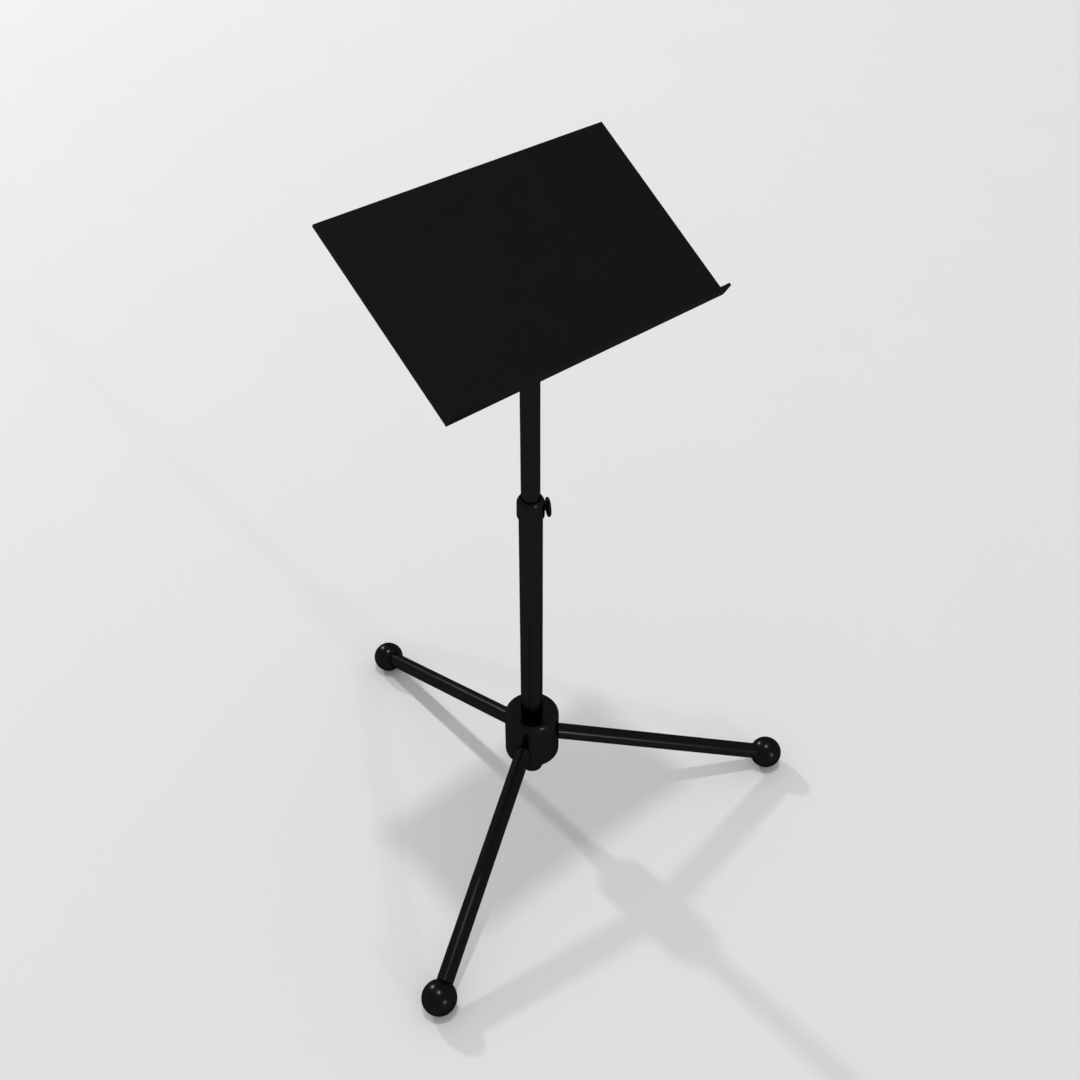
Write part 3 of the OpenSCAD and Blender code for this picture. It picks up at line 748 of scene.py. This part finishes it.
class MUSICSTAND_OT_ball_feet(StandOperator, bpy.types.Operator):
    """Finish the three moulded ball feet"""
    bl_idname = "music_stand.ball_feet"
    bl_label = "Ball Feet"

    def execute(self, context):
        feet = ["front_left_ball_foot", "front_right_ball_foot", "back_ball_foot"]
        low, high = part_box(feet[0])
        seam_height = high.z - (high.x - low.x) / 2
        coat(ball_rubber("ball_rubber", context.scene.music_stand.finish, seam_height), *feet)
        return {"FINISHED"}


class MUSICSTAND_OT_column(StandOperator, bpy.types.Operator):
    """Finish the two tubes, the collar and the bushes and plugs between them"""
    bl_idname = "music_stand.column"
    bl_label = "Column"

    def execute(self, context):
        finish = context.scene.music_stand.finish
        coat(enamel("pole_enamel", finish, 2.4, 0.006), "lower_tube")
        coat(enamel("collar_enamel", finish, 2.0, 0.007), "clamp_collar")
        coat(sliding_enamel("sliding_enamel", finish), "upper_tube")
        coat(moulded_nylon("plug_plastic", finish), "pole_end_plug", "tail_plug", "guide_bush")
        coat(natural_nylon("bush_nylon", finish), "slide_bush", "clamp_pad")
        steel = turned_metal("ring_steel", finish.fastener_colour, 0.36)
        coat(steel, "snap_ring", "clamp_screw", "clamp_insert")
        return {"FINISHED"}


def knob(name, stem, face, place, radius, thick, rib_length, settings, material):
    """A turned knob with a stem, a dished face and fine grip ribs round its rim."""
    back = stem[-1][1]
    profile = stem + round_rim(radius, back, thick)
    profile += [(part, back + thick - depth) for part, depth in face]
    mesh = turned_mesh(name, in_metres(profile), KNOB_SIDES, place)
    grip = settings.grip_height
    return grown(new_piece(name, mesh), grip_tree(), {
        "Ribs": settings.grip_ribs,
        "Rim Radius": radius * MM - grip,
        "Rim Height": (back + thick / 2) * MM,
        "Rib Size": (2 * grip, 0.55 * MM, rib_length * MM),
        "Axis Rotation": place.to_euler(),
        "Axis Place": place.to_translation(),
        "Material": material,
    })


class MUSICSTAND_OT_clamp_knob(StandOperator, bpy.types.Operator):
    """Make the disc knob of the height clamp"""
    bl_idname = "music_stand.clamp_knob"
    bl_label = "Clamp Knob"

    def execute(self, context):
        settings = context.scene.music_stand
        low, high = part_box("clamp_knob")
        axis_height = (low.z + high.z) / 2
        place = (Matrix.Translation((0, 0, axis_height)) @ Matrix.Rotation(CLAMP_TURN, 4, "Z")
                 @ Matrix.Rotation(math.pi / 2, 4, "Y"))
        material = moulded_nylon("knob_plastic", settings.finish)
        piece = knob("clamp_knob_moulding", CLAMP_KNOB_STEM, CLAMP_KNOB_FACE, place, radius=15.0,
                     thick=5.5, rib_length=1.7, settings=settings.shape, material=material)
        kept(piece, "clamp_knob", "moulded_black", "clamp_knob")
        return {"FINISHED"}


class MUSICSTAND_OT_tilt_head(StandOperator, bpy.types.Operator):
    """Make the tilt head in the upper tube's mouth, with its pin and friction washers"""
    bl_idname = "music_stand.tilt_head"
    bl_label = "Tilt Head"

    def execute(self, context):
        settings = context.scene.music_stand
        material = enamel("head_enamel", settings.finish, 1.8, 0.007)
        piece = edge_broken("tilt_head", "tilt_head_forging", settings.shape.fitting_edge, material)
        kept(piece, "upper_tube", "painted_fitting", "tilt_head")
        coat(turned_metal("pin_steel", settings.finish.fastener_colour, 0.36), "head_roll_pin")
        coat(natural_nylon("washer_nylon", settings.finish), "friction_washers")
        return {"FINISHED"}


class MUSICSTAND_OT_desk(StandOperator, bpy.types.Operator):
    """Make the folded sheet desk and its ledge"""
    bl_idname = "music_stand.desk"
    bl_label = "Desk and Ledge"

    def execute(self, context):
        settings = context.scene.music_stand
        material = powder_coat("desk_powder_coat", settings.finish)
        for node, name in (("desk_panel", "desk_sheet"), ("music_ledge", "ledge_sheet")):
            piece = edge_broken(node, name, settings.shape.sheet_edge, material)
            kept(piece, "desk", "painted_sheet", node)
        return {"FINISHED"}


class MUSICSTAND_OT_desk_bracket(StandOperator, bpy.types.Operator):
    """Make the bracket behind the desk and the weld beads at its ears"""
    bl_idname = "music_stand.desk_bracket"
    bl_label = "Desk Bracket"

    def execute(self, context):
        settings = context.scene.music_stand
        material = enamel("bracket_enamel", settings.finish, 1.8, 0.007)
        piece = edge_broken("desk_bracket", "bracket_weldment", settings.shape.fitting_edge, material)
        kept(piece, "desk", "painted_fitting", "desk_bracket")
        turn = desk_axes()
        low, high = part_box("tilt_bolt")
        pivot = Vector((0, (low.y + high.y) / 2, (low.z + high.z) / 2))
        ear_face, half_foot, base_drop = 16.45 * MM, 28 * MM, 34.4 * MM
        points = [pivot + turn @ Vector((side * ear_face, end * half_foot, base_drop))
                  for side in (-1, 1) for end in (-1, 1)]
        beads = grown(points_piece("bracket_weld_beads", points, [(0, 1), (2, 3)]), weld_tree(), {
            "Bead Radius": settings.shape.weld_size,
            "Ripple Pitch": 1.9 * MM,
            "Ripple Height": 0.16 * MM,
            "Direction": turn @ Vector((0, 1, 0)),
            "Material": material,
        })
        kept(beads, "desk", "painted_fitting")
        return {"FINISHED"}


class MUSICSTAND_OT_desk_fasteners(StandOperator, bpy.types.Operator):
    """Make the weld studs and nuts that hold the ledge and the bracket"""
    bl_idname = "music_stand.desk_fasteners"
    bl_label = "Studs and Nuts"

    def execute(self, context):
        settings = context.scene.music_stand
        material = turned_metal("nut_black_zinc", settings.finish.fastener_colour, 0.34)
        rotation = Euler((DESK_TURN, 0, 0))
        shape = settings.shape
        nuts, studs = nut_tree(), stud_tree()
        rows = (
            ("ledge_nuts", "ledge_hexagon_nuts", nuts, {
                "Across Flats": shape.ledge_nut_flats, "Thickness": shape.ledge_nut_thick,
                "Bore": 4.04 * MM, "Flange": 6.6 * MM, "Flange Thickness": 0.4 * MM}),
            ("bracket_nuts", "bracket_flange_nuts", nuts, {
                "Across Flats": shape.bracket_nut_flats, "Thickness": shape.bracket_nut_thick,
                "Bore": 5.04 * MM, "Flange": 11.8 * MM, "Flange Thickness": 1.2 * MM}),
            ("ledge_studs", "ledge_weld_studs", studs, {
                "Length": 7.0 * MM, "Diameter": 4.0 * MM, "Pitch": 0.7 * MM,
                "Thread Depth": 0.36 * MM, "Rings": 70}),
            ("bracket_studs", "bracket_weld_studs", studs, {
                "Length": 11.0 * MM, "Diameter": 5.0 * MM, "Pitch": 0.8 * MM,
                "Thread Depth": 0.42 * MM, "Rings": 96}),
        )
        for node, name, tree, values in rows:
            piece = points_piece(name, solid_middles(node))
            grown(piece, tree, {**values, "Rotation": rotation, "Material": material})
            kept(piece, "desk", "fastener_steel", node)
        return {"FINISHED"}


class MUSICSTAND_OT_tilt_knob(StandOperator, bpy.types.Operator):
    """Make the tilt knob and finish the bolt, washer and insert that it works on"""
    bl_idname = "music_stand.tilt_knob"
    bl_label = "Tilt Knob"

    def execute(self, context):
        settings = context.scene.music_stand
        low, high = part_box("tilt_knob")
        place = (Matrix.Translation((0, (low.y + high.y) / 2, (low.z + high.z) / 2))
                 @ Matrix.Rotation(math.pi / 2, 4, "Y"))
        material = moulded_nylon("tilt_knob_plastic", settings.finish)
        piece = knob("tilt_knob_moulding", TILT_KNOB_STEM, TILT_KNOB_FACE, place, radius=19.0,
                     thick=9.0, rib_length=3.0, settings=settings.shape, material=material)
        kept(piece, "tilt_knob", "moulded_black", "tilt_knob")
        steel = turned_metal("bolt_black_zinc", settings.finish.fastener_colour, 0.36)
        coat(steel, "tilt_bolt", "thrust_washer")
        coat(turned_metal("tilt_brass", settings.finish.brass_colour, 0.3), "tilt_knob_insert")
        return {"FINISHED"}


class MUSICSTAND_OT_stage(StandOperator, bpy.types.Operator):
    """Lay the pale floor and set the studio lights and the camera"""
    bl_idname = "music_stand.stage"
    bl_label = "Stage"

    def execute(self, context):
        scene = context.scene
        settings = scene.music_stand.stage
        scene.view_settings.view_transform = "Standard"
        corners = [(x * FLOOR_HALF, y * FLOOR_HALF, 0) for x, y in ((-1, -1), (1, -1), (1, 1), (-1, 1))]
        mesh = bpy.data.meshes.new("studio_floor")
        mesh.from_pydata(corners, [], [(0, 1, 2, 3)])
        mesh.materials.append(pale_floor("studio_floor", settings.floor_tone))
        new_piece("studio_floor", mesh)
        world = bpy.data.worlds.new("studio_light")
        scene.world = world
        world.use_nodes = True
        sky = world.node_tree.nodes["Background"]
        sky.inputs["Color"].default_value = grey(1.0)
        sky.inputs["Strength"].default_value = settings.sky
        powers = {"back": settings.back_power, "top": settings.top_power, "front": settings.front_power}
        for name, power in powers.items():
            self.add_light(scene, name + "_light", *LAMPS[name], power, settings.light_distance)
            glint = self.add_light(scene, name + "_glint", *LAMPS[name], power * settings.glint,
                                   settings.light_distance)
            glint.visible_diffuse = False
        self.add_camera(scene)
        return {"FINISHED"}

    def add_light(self, scene, name, turn, rise, spread, power, distance):
        """A round lamp that looks at the stand's foot from a direction, as wide as a spread in degrees."""
        lamp = bpy.data.lights.new(name, "AREA")
        lamp.shape = "DISK"
        lamp.size = 2 * distance * math.tan(math.radians(spread / 2))
        lamp.energy = power
        holder = bpy.data.objects.new(name, lamp)
        scene.collection.objects.link(holder)
        turn, rise = math.radians(turn), math.radians(rise)
        direction = Euler((0, -rise, turn)).to_matrix() @ Vector((1, 0, 0))
        holder.location = direction * distance
        holder.rotation_euler = direction.to_track_quat("Z", "Y").to_euler()
        holder.visible_camera = False
        return holder

    def add_camera(self, scene):
        """The camera at the player's left, above the desk."""
        camera = bpy.data.cameras.new("stand_camera")
        camera.angle = FIELD_OF_VIEW
        holder = bpy.data.objects.new("stand_camera", camera)
        scene.collection.objects.link(holder)
        holder.location = CAMERA_PLACE
        holder.rotation_euler = (CAMERA_PITCH, 0.0, CAMERA_HEADING)
        scene.camera = holder


class VIEW3D_PT_music_stand(bpy.types.Panel):
    """Sidebar panel with the stand's settings and the operators that build it"""
    bl_label = "Music Stand"
    bl_idname = "VIEW3D_PT_music_stand"
    bl_space_type = "VIEW_3D"
    bl_region_type = "UI"
    bl_category = "Music Stand"

    def draw(self, context):
        settings = context.scene.music_stand
        for group in (settings.finish, settings.shape, settings.stage):
            box = self.layout.box()
            for name in group.__annotations__:
                box.prop(group, name)
        for operator in OPERATORS:
            self.layout.operator(operator.bl_idname)


OPERATORS = (
    MUSICSTAND_OT_stage,
    MUSICSTAND_OT_hub_and_legs,
    MUSICSTAND_OT_ball_feet,
    MUSICSTAND_OT_column,
    MUSICSTAND_OT_clamp_knob,
    MUSICSTAND_OT_tilt_head,
    MUSICSTAND_OT_desk,
    MUSICSTAND_OT_desk_bracket,
    MUSICSTAND_OT_desk_fasteners,
    MUSICSTAND_OT_tilt_knob,
)
CLASSES = (StandFinishSettings, StandShapeSettings, StandStageSettings, StandSettings, *OPERATORS,
           VIEW3D_PT_music_stand)


def register():
    """Adds the settings, the operators and the panel."""
    for item in CLASSES:
        bpy.utils.register_class(item)
    bpy.types.Scene.music_stand = bpy.props.PointerProperty(type=StandSettings)


def unregister():
    """Takes the settings, the operators and the panel away."""
    del bpy.types.Scene.music_stand
    for item in reversed(CLASSES):
        bpy.utils.unregister_class(item)


def main():
    """Builds every piece in order."""
    register()
    for operator in OPERATORS:
        group, name = operator.bl_idname.split(".")
        getattr(getattr(bpy.ops, group), name)()


if __name__ == "__main__":
    main()
